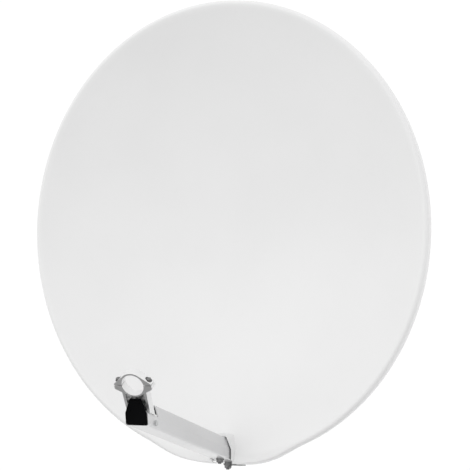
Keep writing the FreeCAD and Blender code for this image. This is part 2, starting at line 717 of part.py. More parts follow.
def holder_bolt():
    """Cross bolt that fixes the holder in the arm."""
    seat = Vector(ARM_W / 2.0, holder_bolt_y(), HOLDER_BOLT_UP)
    return moved(hex_bolt(seat, X_AXIS * -1.0, M5, ARM_W + M5[2] + SCREW_END), arm_place())


def holder_nut():
    seat = Vector(-ARM_W / 2.0, holder_bolt_y(), HOLDER_BOLT_UP)
    return moved(hex_nut(seat, X_AXIS * -1.0, M5), arm_place())


def clamp_nuts():
    """Nuts under the holder's lugs."""
    seat = Vector(0, RING_LONG / 2.0, -NUT_SEAT)
    nuts = [hex_nut(seat + X_AXIS * x, Vector(0, 0, -1), M5) for x in (-LUG_X, LUG_X)]
    return moved(group(nuts), ring_place())


def clamp_cap():
    return moved(half_ring(1), ring_place())


def clamp_screws():
    """Hex screws through both lugs, heads on top."""
    seat = Vector(0, RING_LONG / 2.0, SCREW_SEAT + WASHER_T)
    length = SCREW_SEAT + NUT_SEAT + WASHER_T + M5[2] + SCREW_END
    bolts = [hex_bolt(seat + X_AXIS * x, Vector(0, 0, -1), M5, length) for x in (-LUG_X, LUG_X)]
    return moved(group(bolts), ring_place())


def clamp_washers():
    seat = Vector(0, RING_LONG / 2.0, SCREW_SEAT)
    rings = [washer(seat + X_AXIS * x, Z_AXIS, M5) for x in (-LUG_X, LUG_X)]
    return moved(group(rings), ring_place())


def mast_arch(front):
    """Arched wall that seats on the mast, with its two flanges; front is -1 or +1 along Y."""
    half_z = CLAMP_LEN / 2.0
    low = Vector(0, 0, -half_z)
    up = Z_AXIS
    near, far = sorted((front * FLANGE_Y, front * (FLANGE_Y + FLANGE_T)))
    arch = rod(low, up, MAST_R + FLANGE_T, CLAMP_LEN)
    beyond = sorted((front * FLANGE_Y, front * 80.0))
    arch = arch.common(box(-80, 80, beyond[0], beyond[1], -80, 80))
    flange = box(-FLANGE_HALF_W, FLANGE_HALF_W, near, far, -half_z, half_z)
    corners = [e for e in flange.Edges if abs(e.BoundBox.ZMax - e.BoundBox.ZMin) < 0.1
               and abs(e.BoundBox.XMax - e.BoundBox.XMin) < 0.1]
    flange = flange.makeFillet(8.0, corners)
    return join([arch, flange]).cut(rod(low, up, MAST_R, CLAMP_LEN))


def clamp_bolt_places():
    return [(x, z) for x in (-CLAMP_BOLT_X, CLAMP_BOLT_X) for z in (-CLAMP_BOLT_Z, CLAMP_BOLT_Z)]


def drill_flanges(shape, half_hole):
    for x, z in clamp_bolt_places():
        shape = shape.cut(rod(Vector(x, -40, z), Y_AXIS, half_hole, 80.0))
    return shape


def slot_path(radius, half_width, x0, x1):
    """Curved slot about the pivot for the lock bolt's whole travel."""
    centre = Vector(x0, PIVOT_Y, PIVOT_Z)
    start = LOCK_ANGLE + TILT + TILT_MIN - 1.0
    stop = LOCK_ANGLE + TILT + TILT_MAX + 1.0
    ring = tube(centre, X_AXIS, radius - half_width, radius + half_width, x1 - x0)
    wedge = wedge_about(start, stop, radius * 3.0, x0, x1)
    ends = []
    for angle in (start, stop):
        turn = math.radians(angle)
        middle = centre + Vector(0, radius * math.sin(turn), radius * math.cos(turn))
        ends.append(rod(middle, X_AXIS, half_width, x1 - x0))
    return join([ring.common(wedge)] + ends)


def wedge_about(start, stop, reach, x0, x1):
    """Wedge from the pivot between two bearings measured from +Z towards +Y."""
    points = [Vector(x0, PIVOT_Y, PIVOT_Z)]
    for angle in (start, stop):
        turn = math.radians(angle)
        points.append(Vector(x0, PIVOT_Y + reach * math.sin(turn), PIVOT_Z + reach * math.cos(turn)))
    return Part.Face(Part.makePolygon(points + points[:1])).extrude(Vector(x1 - x0, 0, 0))


def mast_yoke():
    """Front half of the mast clamp with two cheeks that hold the pivot."""
    inner = SPINE_HALF_W + CHEEK_GAP
    outer = inner + CHEEK_T
    half_z = CLAMP_LEN / 2.0
    ear = 18.0
    outline = [(-FLANGE_Y, -half_z), (-FLANGE_Y, half_z), (PIVOT_Y + 24.0, half_z),
               (PIVOT_Y - ear, PIVOT_Z + 4.0), (PIVOT_Y - ear, PIVOT_Z - ear), (PIVOT_Y + 6.0, PIVOT_Z - ear)]
    cheek = side_plate(outline, [0.0, 0.0, 10.0, 10.0, 15.0, 6.0], inner, outer)
    cheek = cheek.cut(slot_path(LOCK_R, M8[0] + HOLE_CLEAR, inner - 1.0, outer + 1.0))
    cheek = cheek.cut(rod(Vector(0, PIVOT_Y, PIVOT_Z), X_AXIS, M10[0] + RUN_CLEAR, 80.0))
    body = join([mast_arch(-1)] + both_sides(cheek))
    return drill_flanges(body, M8[0] + HOLE_CLEAR)


def elevation_scale():
    """Thin arc plate beside the slot with a notch for every five degrees."""
    outer = cheek_outside()
    thick = 0.8
    centre = Vector(outer, PIVOT_Y, PIVOT_Z)
    low, high = LOCK_R + 10.0, LOCK_R + 16.5
    plate = tube(centre, X_AXIS, low, high, thick)
    plate = plate.common(wedge_about(21.0, 62.0, LOCK_R * 3.0, outer, outer + thick))
    for i in range(8):
        turn = math.radians(24.0 + 5.0 * i)
        radial = Vector(0, math.sin(turn), math.cos(turn))
        long = 3.0 if i % 2 == 0 else 2.0
        tick = rod(centre + radial * low, radial, 0.35, long)
        plate = plate.cut(tick.fuse(moved(tick, Placement(Vector(thick, 0, 0), Rotation()))))
    return max(plate.Solids, key=lambda s: s.Volume)


def pivot_bolt():
    face = cheek_outside() + WASHER_T
    return hex_bolt(Vector(face, PIVOT_Y, PIVOT_Z), X_AXIS * -1.0, M10, face * 2.0 + M10[2] + 4.0)


def pivot_washers():
    return group(both_sides(washer(Vector(cheek_outside(), PIVOT_Y, PIVOT_Z), X_AXIS, M10)))


def pivot_nut():
    face = cheek_outside() + WASHER_T
    return hex_nut(Vector(-face, PIVOT_Y, PIVOT_Z), X_AXIS * -1.0, M10)


def clamp_bolts():
    """Round-headed coach bolts through yoke and jaw."""
    seat = -(FLANGE_Y + FLANGE_T)
    back = Y_AXIS
    length = 2.0 * (FLANGE_Y + FLANGE_T) + WASHER_T + M8[2] + JAW_OPEN + 3.0
    bolts = []
    for x, z in clamp_bolt_places():
        start = Vector(x, seat, z)
        head = Part.makeSphere(10.0, start + back * 5.6).common(rod(start, back * -1.0, 9.0, 6.0))
        end = Part.makeCone(M8[0], M8[0] * 0.8, 1.2, start + back * length, back)
        bolts.append(join([head, rod(start, back, M8[0], length), end]))
    return group(bolts)


def mast_jaw():
    return drill_flanges(mast_arch(1), M8[0] + HOLE_CLEAR)


def jaw_washers():
    seat = FLANGE_Y + FLANGE_T
    return group([washer(Vector(x, seat, z), Y_AXIS, M8) for x, z in clamp_bolt_places()])


def jaw_nuts():
    seat = FLANGE_Y + FLANGE_T + WASHER_T
    return group([hex_nut(Vector(x, seat, z), Y_AXIS, M8) for x, z in clamp_bolt_places()])


MOUNT_PIECES = [mast_yoke, elevation_scale, pivot_bolt, pivot_washers, pivot_nut, clamp_bolts,
                mast_jaw, jaw_washers, jaw_nuts]
DISH_PIECES = [reflector, slot_edging, plate_bosses, back_plate, plate_bolts, plate_washers, spine_channel,
               spine_rivets, pivot_sleeve, lock_bolt, lock_washers, lock_nut, lower_stay, stay_bolts,
               stay_nuts,
               feed_arm, arm_end_cap, arm_bolts, arm_nuts, earth_tab, lnb_holder, holder_bolt, holder_nut,
               clamp_nuts, clamp_cap, clamp_screws, clamp_washers]


def main():
    os.makedirs("parts", exist_ok=True)
    for piece in MOUNT_PIECES:
        piece().exportStep("parts/" + piece.__name__ + ".step")
    for piece in DISH_PIECES:
        moved(piece(), row_place()).exportStep("parts/" + piece.__name__ + ".step")


main()
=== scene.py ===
"""Looks of an offset satellite dish: sheet reflector, feed arm, feed holder and mast mount."""

import json
import logging
import math
from dataclasses import dataclass, field
from enum import Enum
from typing import Iterable, Optional, Protocol, Sequence, Union

import bmesh
import bpy
from mathutils import Matrix, Vector


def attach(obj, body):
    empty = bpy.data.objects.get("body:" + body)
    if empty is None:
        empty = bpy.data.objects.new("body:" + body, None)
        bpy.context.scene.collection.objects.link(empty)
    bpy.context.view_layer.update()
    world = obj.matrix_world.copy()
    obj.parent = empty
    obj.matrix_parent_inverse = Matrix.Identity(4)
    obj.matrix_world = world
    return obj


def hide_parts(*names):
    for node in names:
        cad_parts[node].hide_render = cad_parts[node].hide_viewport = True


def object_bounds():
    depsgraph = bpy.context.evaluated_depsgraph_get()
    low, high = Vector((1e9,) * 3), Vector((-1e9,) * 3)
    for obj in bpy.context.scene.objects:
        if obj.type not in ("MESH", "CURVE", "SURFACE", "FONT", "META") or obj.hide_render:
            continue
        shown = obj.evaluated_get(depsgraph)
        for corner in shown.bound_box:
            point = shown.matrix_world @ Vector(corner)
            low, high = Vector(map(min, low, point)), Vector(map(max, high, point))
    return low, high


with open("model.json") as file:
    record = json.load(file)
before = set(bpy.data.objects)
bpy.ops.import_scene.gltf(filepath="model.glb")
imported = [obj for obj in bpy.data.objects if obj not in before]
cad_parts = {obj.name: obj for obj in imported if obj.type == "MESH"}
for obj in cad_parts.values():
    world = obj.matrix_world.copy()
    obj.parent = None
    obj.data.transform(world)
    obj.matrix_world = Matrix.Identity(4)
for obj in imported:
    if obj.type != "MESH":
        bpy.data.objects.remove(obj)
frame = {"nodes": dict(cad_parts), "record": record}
CAD_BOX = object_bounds()

LOG = logging.getLogger("dish")
MM = 0.001
MICRON = 0.000001

Number = Union[int, float]
Colour = tuple[float, float, float]
Triple = tuple[float, float, float]
Pair = tuple[float, float]


class Head(Enum):
    """Kinds of bolt head."""

    HEX = "hex"
    DOME = "dome"


class Signal:
    """A shader value that takes part in Python arithmetic."""

    def __init__(self, net: "NodeNet", socket: bpy.types.NodeSocket) -> None:
        """Keeps the socket and the net it belongs to."""
        self.net = net
        self.socket = socket

    def _math(self, operation: str, first: "Operand", second: "Operand") -> "Signal":
        """Adds a Math node.

        Args:
            operation: the node's operation.
            first: left operand.
            second: right operand.

        Returns:
            The node's result.
        """
        return self.net.node("ShaderNodeMath", {"operation": operation}, {0: first, 1: second})

    def __add__(self, other: "Operand") -> "Signal":
        """self + other."""
        return self._math("ADD", self, other)

    def __radd__(self, other: "Operand") -> "Signal":
        """other + self."""
        return self._math("ADD", other, self)

    def __mul__(self, other: "Operand") -> "Signal":
        """self * other."""
        return self._math("MULTIPLY", self, other)

    def __rmul__(self, other: "Operand") -> "Signal":
        """other * self."""
        return self._math("MULTIPLY", other, self)

    def step(self, low: float, high: float) -> "Signal":
        """A smooth step from 0 at low to 1 at high."""
        settings = {"interpolation_type": "SMOOTHSTEP", "clamp": True}
        return self.net.node("ShaderNodeMapRange", settings, {0: self, 1: low, 2: high})

    def ramp(self, low: float, high: float) -> "Signal":
        """A straight rise from 0 at low to 1 at high."""
        return self.net.node("ShaderNodeMapRange", {"clamp": True}, {0: self, 1: low, 2: high})


Operand = Union[Signal, Number]


class NodeNet:
    """A node tree with one method that adds any node."""

    def __init__(self, tree: bpy.types.NodeTree, shader: str) -> None:
        """Keeps the tree and the shader that its signals end in."""
        self.tree = tree
        self.shader = tree.nodes[shader]

    def node(self, kind: str, settings: dict, inputs: dict, output: Union[int, str] = 0) -> Signal:
        """Adds a node.

        Args:
            kind: the node's type.
            settings: its properties, set first.
            inputs: values or signals by socket index or name.
            output: which output to return.

        Returns:
            The chosen output.
        """
        made = self.tree.nodes.new(kind)
        for key, value in settings.items():
            setattr(made, key, value)
        for key, value in inputs.items():
            self._feed(made.inputs[key], value)
        return Signal(self, made.outputs[output])

    def _feed(self, socket: bpy.types.NodeSocket, value: object) -> None:
        """Gives a socket its input.

        Args:
            socket: the socket to feed.
            value: a signal, which is linked, or the socket's own value.
        """
        if isinstance(value, Signal):
            self.tree.links.new(value.socket, socket)
        elif isinstance(value, tuple) and len(value) == 3 and socket.type == "RGBA":
            socket.default_value = (*value, 1.0)
        else:
            socket.default_value = value

    def shade(self, values: dict) -> None:
        """Feeds the shader's sockets by name."""
        for key, value in values.items():
            self._feed(self.shader.inputs[key], value)

    def blend(self, factor: Operand, first: object, second: object) -> Signal:
        """Mix of two colours."""
        return self.node("ShaderNodeMix", {"data_type": "RGBA"}, {0: factor, 6: first, 7: second}, 2)


class Surface(NodeNet):
    """A material's node tree, which ends in a Principled shader."""

    def __init__(self, name: str) -> None:
        """Makes an empty material.

        Args:
            name: the material's name.
        """
        self.material = bpy.data.materials.new(name)
        self.material.use_nodes = True
        super().__init__(self.material.node_tree, "Principled BSDF")

    def place(self, stretch: Triple = (1.0, 1.0, 1.0)) -> Signal:
        """Coordinates in metres in the object's own space, stretched along its axes."""
        here = self.node("ShaderNodeTexCoord", {}, {}, "Object")
        return self.node("ShaderNodeVectorMath", {"operation": "MULTIPLY"}, {0: here, 1: stretch})

    def noise(self, grain: float, detail: float = 3.0, stretch: Triple = (1.0, 1.0, 1.0)) -> Signal:
        """Adds a noise texture.

        Args:
            grain: size of its features in metres.
            detail: how many finer layers it has.
            stretch: stretch of the coordinates along the object's axes.

        Returns:
            Noise from 0 to 1.
        """
        inputs = {"Vector": self.place(stretch), "Scale": 1.0 / grain, "Detail": detail, "Roughness": 0.5}
        return self.node("ShaderNodeTexNoise", {}, inputs)

    def bump(self, height: Signal, depth: float, below: Optional[Signal] = None) -> Signal:
        """Adds a bump.

        Args:
            height: what the surface's height follows.
            depth: height of the relief in metres.
            below: another bump that this one lies on.

        Returns:
            The bent normal.
        """
        inputs: dict = {"Height": height, "Distance": depth, "Strength": 1.0}
        if below is not None:
            inputs["Normal"] = below
        return self.node("ShaderNodeBump", {}, inputs)


class Finish(Protocol):
    """Anything that makes a material."""

    def material(self) -> bpy.types.Material:
        """The finished material."""


@dataclass(frozen=True)
class PowderCoat:
    """Baked powder paint: orange peel, faint mottling and dust."""

    name: str
    colour: Colour
    shade: Colour
    roughness: float = 0.38
    peel: float = 0.0022
    peel_depth: float = 20.0 * MICRON
    coat: float = 0.15
    coat_roughness: float = 0.15
    metallic: float = 0.0
    cloud_size: float = 0.22
    cloud_range: Pair = (0.3, 0.75)
    cloud_tint: float = 0.55
    cloud_dull: float = 0.07
    dust_size: float = 0.012
    dust_range: Pair = (0.55, 0.8)
    dust_tint: float = 0.18
    dust_dull: float = 0.08
    fleck_size: float = 0.0006
    fleck_dull: float = 0.03

    def material(self) -> bpy.types.Material:
        """Builds the nodes.

        Returns:
            The finished material.
        """
        net = Surface(self.name)
        cloud = net.noise(self.cloud_size, detail=2.0).step(*self.cloud_range)
        dust = net.noise(self.dust_size, detail=4.0).step(*self.dust_range)
        peel = net.noise(self.peel, detail=2.0)
        fleck = net.noise(self.fleck_size, detail=1.0)
        base = net.blend(cloud * self.cloud_tint + dust * self.dust_tint, self.colour, self.shade)
        dull = self.roughness + self.cloud_dull * cloud + self.dust_dull * dust + self.fleck_dull * fleck
        net.shade({"Base Color": base, "Roughness": dull, "Metallic": self.metallic,
                   "Coat Weight": self.coat, "Coat Roughness": self.coat_roughness,
                   "Normal": net.bump(peel, self.peel_depth)})
        return net.material


@dataclass(frozen=True)
class Galvanised:
    """Hot-dip zinc on sheet: spangle, soft streaks and dull patches."""

    name: str
    light: Colour = (0.66, 0.67, 0.68)
    dark: Colour = (0.40, 0.41, 0.43)
    metallic: float = 0.85
    roughness: float = 0.42
    spangle: float = 0.011
    spangle_tint: float = 0.45
    spangle_dull: float = 0.16
    spangle_depth: float = 10.0 * MICRON
    streak_size: float = 0.02
    streak_stretch: Triple = (1.0, 1.0, 0.12)
    streak_tint: float = 0.35
    patch_size: float = 0.05
    patch_range: Pair = (0.45, 0.75)
    patch_tint: float = 0.2
    patch_dull: float = 0.12
    grit_size: float = 0.0009
    grit_depth: float = 20.0 * MICRON

    def material(self) -> bpy.types.Material:
        """Builds the nodes.

        Returns:
            The finished material.
        """
        net = Surface(self.name)
        inputs = {"Vector": net.place(), "Scale": 1.0 / self.spangle, "Randomness": 1.0}
        cells = net.node("ShaderNodeTexVoronoi", {"feature": "F1"}, inputs, "Color")
        tone = net.node("ShaderNodeSeparateColor", {}, {0: cells}, 0)
        streak = net.noise(self.streak_size, stretch=self.streak_stretch)
        patch = net.noise(self.patch_size).step(*self.patch_range)
        grit = net.noise(self.grit_size, detail=2.0)
        tint = tone * self.spangle_tint + streak * self.streak_tint + patch * self.patch_tint
        dull = self.roughness + self.spangle_dull * tone + self.patch_dull * patch
        relief = net.bump(grit, self.grit_depth, net.bump(tone, self.spangle_depth))
        net.shade({"Base Color": net.blend(tint, self.light, self.dark), "Metallic": self.metallic,
                   "Roughness": dull, "Normal": relief})
        return net.material


@dataclass(frozen=True)
class Plated:
    """Plated or blackened steel: fine turning marks, stains and rubbed places."""

    name: str
    colour: Colour
    stain: Colour
    metallic: float = 0.9
    roughness: float = 0.3
    mark_size: float = 0.0006
    mark_stretch: Triple = (1.0, 0.25, 1.0)
    mark_tint: float = 0.2
    mark_dull: float = 0.1
    mark_depth: float = 10.0 * MICRON
    blotch_size: float = 0.006
    blotch_range: Pair = (0.45, 0.7)
    blotch_tint: float = 0.6
    blotch_dull: float = 0.2

    def material(self) -> bpy.types.Material:
        """Builds the nodes.

        Returns:
            The finished material.
        """
        net = Surface(self.name)
        mark = net.noise(self.mark_size, detail=2.0, stretch=self.mark_stretch)
        blotch = net.noise(self.blotch_size, detail=4.0).step(*self.blotch_range)
        base = net.blend(blotch * self.blotch_tint + mark * self.mark_tint, self.colour, self.stain)
        dull = self.roughness + self.blotch_dull * blotch + self.mark_dull * mark
        net.shade({"Base Color": base, "Metallic": self.metallic, "Roughness": dull,
                   "Normal": net.bump(mark, self.mark_depth)})
        return net.material


@dataclass(frozen=True)
class Moulded:
    """Cast or moulded part: fine spark-eroded grain, slight flow marks and scuffs."""

    name: str
    colour: Colour
    pale: Colour
    roughness: float = 0.5
    grain: float = 0.0007
    grain_depth: float = 30.0 * MICRON
    grain_dull: float = 0.05
    specular: float = 0.4
    metallic: float = 0.0
    flow_size: float = 0.02
    flow_stretch: Triple = (1.0, 1.0, 0.4)
    flow_range: Pair = (0.35, 0.75)
    flow_tint: float = 0.4
    flow_dull: float = 0.1
    scuff_size: float = 0.004
    scuff_range: Pair = (0.62, 0.8)
    scuff_tint: float = 0.35
    scuff_dull: float = 0.12

    def material(self) -> bpy.types.Material:
        """Builds the nodes.

        Returns:
            The finished material.
        """
        net = Surface(self.name)
        grain = net.noise(self.grain)
        flow = net.noise(self.flow_size, stretch=self.flow_stretch).step(*self.flow_range)
        scuff = net.noise(self.scuff_size, detail=5.0).step(*self.scuff_range)
        base = net.blend(flow * self.flow_tint + scuff * self.scuff_tint, self.colour, self.pale)
        dull = self.roughness + self.flow_dull * flow + self.scuff_dull * scuff + self.grain_dull * grain
        net.shade({"Base Color": base, "Roughness": dull, "Specular IOR Level": self.specular,
                   "Metallic": self.metallic, "Normal": net.bump(grain, self.grain_depth)})
        return net.material


class MeshMaker:
    """Small helpers that turn points into finished mesh objects."""

    @staticmethod
    def piece(name: str, mesh_source: bmesh.types.BMesh, finish: bpy.types.Material,
              sharp: float = 35.0) -> bpy.types.Object:
        """Object from a bmesh.

        Args:
            name: the object's name.
            mesh_source: closed bmesh in the row frame, in metres; freed here.
            finish: its material.
            sharp: edges bent more than this many degrees stay sharp.

        Returns:
            The linked object.
        """
        mesh = bpy.data.meshes.new(name)
        bmesh.ops.recalc_face_normals(mesh_source, faces=mesh_source.faces)
        mesh_source.to_mesh(mesh)
        mesh_source.free()
        for polygon in mesh.polygons:
            polygon.use_smooth = True
        mesh.set_sharp_from_angle(angle=math.radians(sharp))
        mesh.materials.append(finish)
        made = bpy.data.objects.new(name, mesh)
        bpy.context.scene.collection.objects.link(made)
        return made

    @staticmethod
    def loft(work: bmesh.types.BMesh, rings: Sequence[Sequence[Vector]], caps: bool = True) -> None:
        """Skins a stack of rings.

        Args:
            work: bmesh that takes the faces.
            rings: rings of points, all of the same length.
            caps: whether the first and last ring are closed.
        """
        rows = [[work.verts.new(point) for point in ring] for ring in rings]
        for low, high in zip(rows[:-1], rows[1:]):
            count = len(low)
            for i in range(count):
                j = (i + 1) % count
                work.faces.new((low[i], low[j], high[j], high[i]))
        if caps:
            work.faces.new(rows[0])
            work.faces.new(rows[-1])

    @staticmethod
    def carve(target: bpy.types.Object, tool: bpy.types.Object, operation: str) -> None:
        """Applies an exact boolean and removes the tool.

        Args:
            target: object whose mesh changes.
            tool: closed object to add or take away.
            operation: the boolean's operation.
        """
        modifier = target.modifiers.new("carve", "BOOLEAN")
        modifier.operation = operation
        modifier.solver = "EXACT"
        modifier.object = tool
        graph = bpy.context.evaluated_depsgraph_get()
        result = bpy.data.meshes.new_from_object(target.evaluated_get(graph))
        target.modifiers.remove(modifier)
        old, target.data = target.data, result
        bpy.data.meshes.remove(old)
        bpy.data.objects.remove(tool)


@dataclass
class DishSpace:
    """The dish's own coordinates: x right, v up the rim plane from its lowest point, n out of the face."""

    aperture_w: float = 833.0 * MM
    offset: float = math.radians(25.21)
    tilt: float = math.radians(4.8)
    pivot_behind: float = 56.3 * MM
    pivot_below: float = 45.0 * MM
    root_v: float = -5.7 * MM
    ring_v: float = 173.01 * MM
    ring_n: float = 428.95 * MM
    ring_drop: float = 64.3 * MM
    ring_tilt: float = math.radians(28.2)

    def __post_init__(self) -> None:
        """Works out the bowl and where it stands in the row frame."""
        self.aperture_h = self.aperture_w / math.cos(self.offset)
        self.focal = self.aperture_w / (4.0 * math.tan(self.offset))
        self.bowl_deep = self.aperture_w * math.sin(self.offset) / 4.0
        joints = {joint["name"]: joint for joint in frame["record"]["behaviour"]["joints"]}
        pivot = Vector(joints["elevation"]["pos_m"])
        self.turn = Matrix.Rotation(-self.tilt, 4, "X")
        local = Vector((0.0, self.bowl_deep + self.pivot_behind, -self.pivot_below))
        self.matrix = Matrix.Translation(pivot) @ self.turn @ Matrix.Translation(-local)
        self.arm_slope = math.atan((self.ring_v - self.ring_drop - self.root_v) / self.ring_n)

    def at(self, x: float, v: float, n: float) -> Vector:
        """Row point of dish coordinates."""
        return self.matrix @ Vector((x, -n, v - self.aperture_h / 2.0))

    def arm(self, x: float, along: float, up: float) -> Vector:
        """Row point of arm coordinates.

        Args:
            x: distance to the right.
            along: distance along the arm from the rim plane.
            up: height above the arm's underside.

        Returns:
            The point in the row frame.
        """
        cos, sin = math.cos(self.arm_slope), math.sin(self.arm_slope)
        return self.at(x, self.root_v + along * sin + up * cos, along * cos - up * sin)

    def bowl(self, x: float, v: float) -> float:
        """Depth of the paraboloid.

        Args:
            x: distance to the right.
            v: distance up the rim plane.

        Returns:
            The n of the bowl's face there.
        """
        sin, cos = math.sin(self.offset), math.cos(self.offset)
        a = sin * sin
        b = 2.0 * v * sin * cos + 4.0 * self.focal * cos
        c = x * x + (v * cos) ** 2 - 4.0 * self.focal * v * sin
        return (b - math.sqrt(b * b - 4.0 * a * c)) / (2.0 * a)


@dataclass
class ArmSection:
    """House-shaped section of the feed arm."""

    width: float = 40.0 * MM
    side: float = 19.5 * MM
    top: float = 20.0 * MM
    tall: float = 43.0 * MM
    arc_steps: int = 5

    def corners(self, inset: float) -> list[Pair]:
        """Corners of the section.

        Args:
            inset: distance that the outline moves inwards.

        Returns:
            Points (x, up) from the right foot over the roof to the left foot.
        """
        half, half_top = self.width / 2.0, self.top / 2.0
        run, rise = half - half_top, self.tall - self.side
        length = math.hypot(run, rise)
        normal_x, normal_z = rise / length, run / length
        level = normal_x * half + normal_z * self.side - inset
        shoulder = (level - normal_x * (half - inset)) / normal_z
        top_x = (level - normal_z * (self.tall - inset)) / normal_x
        right = [(half - inset, inset), (half - inset, shoulder), (top_x, self.tall - inset)]
        return right + [(-x, z) for x, z in reversed(right)]

    def rounded(self, points: Sequence[Pair], radius: float) -> list[Pair]:
        """The outline with each corner rounded.

        Args:
            points: corner points in order.
            radius: rounding of every corner.

        Returns:
            The points of the rounded outline.
        """
        outline: list[Pair] = []
        count = len(points)
        for i, point in enumerate(points):
            here = Vector(point)
            before = (Vector(points[i - 1]) - here).normalized()
            after = (Vector(points[(i + 1) % count]) - here).normalized()
            half = before.angle(after) / 2.0
            reach = radius / math.tan(half)
            centre = here + (before + after).normalized() * (radius / math.sin(half))
            start, stop = here + before * reach - centre, here + after * reach - centre
            begin = math.atan2(start.y, start.x)
            sweep = (math.atan2(stop.y, stop.x) - begin + math.pi) % (2.0 * math.pi) - math.pi
            for k in range(self.arc_steps + 1):
                angle = begin + sweep * k / self.arc_steps
                outline.append((centre.x + radius * math.cos(angle), centre.y + radius * math.sin(angle)))
        return outline


@dataclass
class Reflector:
    """Pressed sheet: bowl, rounded lip, skirt with a rolled bead, chin, neck and arm slot."""

    space: DishSpace
    section: ArmSection
    around: int = 288
    rings: int = 60
    ring_crowding: float = 0.92
    sheet: float = 1.6 * MM
    bowl_sheet: float = 1.84 * MM
    lip: float = 8.8 * MM
    skirt: float = 27.5 * MM
    edge: float = 8.0 * MM
    crease: float = 0.3 * MM
    wall_stops: Pair = (-11.0 * MM, -18.0 * MM)
    bead: float = 1.6 * MM
    bead_above: float = 2.2 * MM
    bead_inside: float = 4.0 * MM
    chin_top: float = 165.0 * MM
    chin_bottom: float = 30.0 * MM
    chin_drop: float = 4.5 * MM
    slot_gap: float = 2.0 * MM
    slot_round: float = 3.0 * MM
    slot_below: float = 30.0 * MM
    slot_ends: Pair = (-75.0 * MM, 40.0 * MM)
    neck_wall: float = 3.0 * MM
    neck_flare: float = 9.0 * MM
    neck_stand: float = 8.0 * MM
    neck_deep: float = 28.0 * MM
    neck_round: float = 9.0 * MM
    neck_steps: int = 8
    neck_curve: float = 1.7
    neck_lip: tuple[Pair, ...] = ((0.0, -1.1 * MM), (0.4 * MM, -0.3 * MM), (1.2 * MM, 0.0))
    hollow_reach: float = 3.0

    def lip_profile(self) -> list[Pair]:
        """Section of the lip and skirt.

        Returns:
            Pairs (outward, n): over the front, down the skirt, round the bead and back up inside.
        """
        edge, bead, start = self.edge, self.bead, self.lip - self.edge
        inner, inside = self.lip - self.sheet, self.edge - self.sheet
        upper, lower = self.wall_stops
        front = [(self.crease, 0.0), (start, 0.0)]
        turn = [(start + edge * math.sin(a), -edge + edge * math.cos(a))
                for a in (math.radians(10.0 * k) for k in range(1, 10))]
        wall = [(self.lip, upper), (self.lip, lower), (self.lip, -self.skirt + self.bead_above)]
        curl = [(self.lip - bead + bead * math.cos(a), -self.skirt + bead - bead * math.sin(a))
                for a in (math.radians(22.5 * k) for k in range(0, 11))]
        back = [(inner, -self.skirt + self.bead_inside), (inner, lower), (inner, upper)]
        turn_back = [(start + inside * math.sin(a), -edge + inside * math.cos(a))
                     for a in (math.radians(90.0 - 15.0 * k) for k in range(0, 7))]
        end = [(self.crease, -self.sheet), (0.0, -self.sheet)]
        return front + turn + wall + curl + back + turn_back + end

    def chin_level(self, x: float, v: float, n: float, inside: bool) -> float:
        """Draws a lip point down to the chin, in line with the arm's underside.

        Args:
            x, v, n: the point in dish coordinates.
            inside: whether it is on the sheet's rear.

        Returns:
            Its new v.
        """
        share = (self.chin_top - abs(x)) / (self.chin_top - self.chin_bottom)
        share = max(0.0, min(1.0, share))
        share = share * share * (3.0 - 2.0 * share)
        plane = self.space.root_v - self.chin_drop + n * math.tan(self.space.arm_slope)
        target = plane + (self.sheet if inside else 0.0)
        return v + share * min(0.0, target - v)

    def ring(self, share: float, outward: float, depth: Optional[float], inside: bool) -> list[Vector]:
        """One ring of points.

        Args:
            share: distance from the middle, 1 at the crease.
            outward: distance outside the crease.
            depth: n of the ring, or None on the bowl.
            inside: whether the point is on the sheet's rear.

        Returns:
            Points in the row frame.
        """
        space = self.space
        points = []
        for k in range(self.around):
            angle = 2.0 * math.pi * k / self.around
            x = (space.aperture_w / 2.0 * share + outward) * math.cos(angle)
            v = space.aperture_h / 2.0 + (space.aperture_h / 2.0 * share + outward) * math.sin(angle)
            if depth is None:
                n = space.bowl(x, v) - (self.bowl_sheet if inside else 0.0)
            else:
                n = depth
                if outward > 0.0 and v < space.aperture_h / 4.0 and abs(x) < self.chin_top:
                    v = self.chin_level(x, v, n, inside)
            points.append(space.at(x, v, n))
        return points

    def shell(self, finish: bpy.types.Material) -> bpy.types.Object:
        """Lofts the face, lip, skirt and rear as one closed sheet.

        Args:
            finish: the paint.

        Returns:
            The sheet before the slot is cut.
        """
        profile = self.lip_profile()
        lowest = min(range(len(profile)), key=lambda i: profile[i][1])
        shares = [(k / self.rings) ** self.ring_crowding for k in range(1, self.rings + 1)]
        rings = [self.ring(share, 0.0, None, False) for share in shares]
        rings += [self.ring(1.0, w, n, i > lowest) for i, (w, n) in enumerate(profile)]
        rings += [self.ring(share, 0.0, None, True) for share in reversed(shares[:-1])]
        work = bmesh.new()
        MeshMaker.loft(work, rings, caps=False)
        work.verts.ensure_lookup_table()
        middle = self.space.aperture_h / 2.0
        deep = self.space.bowl(0.0, middle)
        for start, n in ((0, deep), (len(rings) - 1, deep - self.bowl_sheet)):
            hub = work.verts.new(self.space.at(0.0, middle, n))
            work.verts.ensure_lookup_table()
            for k in range(self.around):
                first = work.verts[start * self.around + k]
                second = work.verts[start * self.around + (k + 1) % self.around]
                work.faces.new((hub, first, second))
        return MeshMaker.piece("reflector_sheet", work, finish, sharp=50.0)

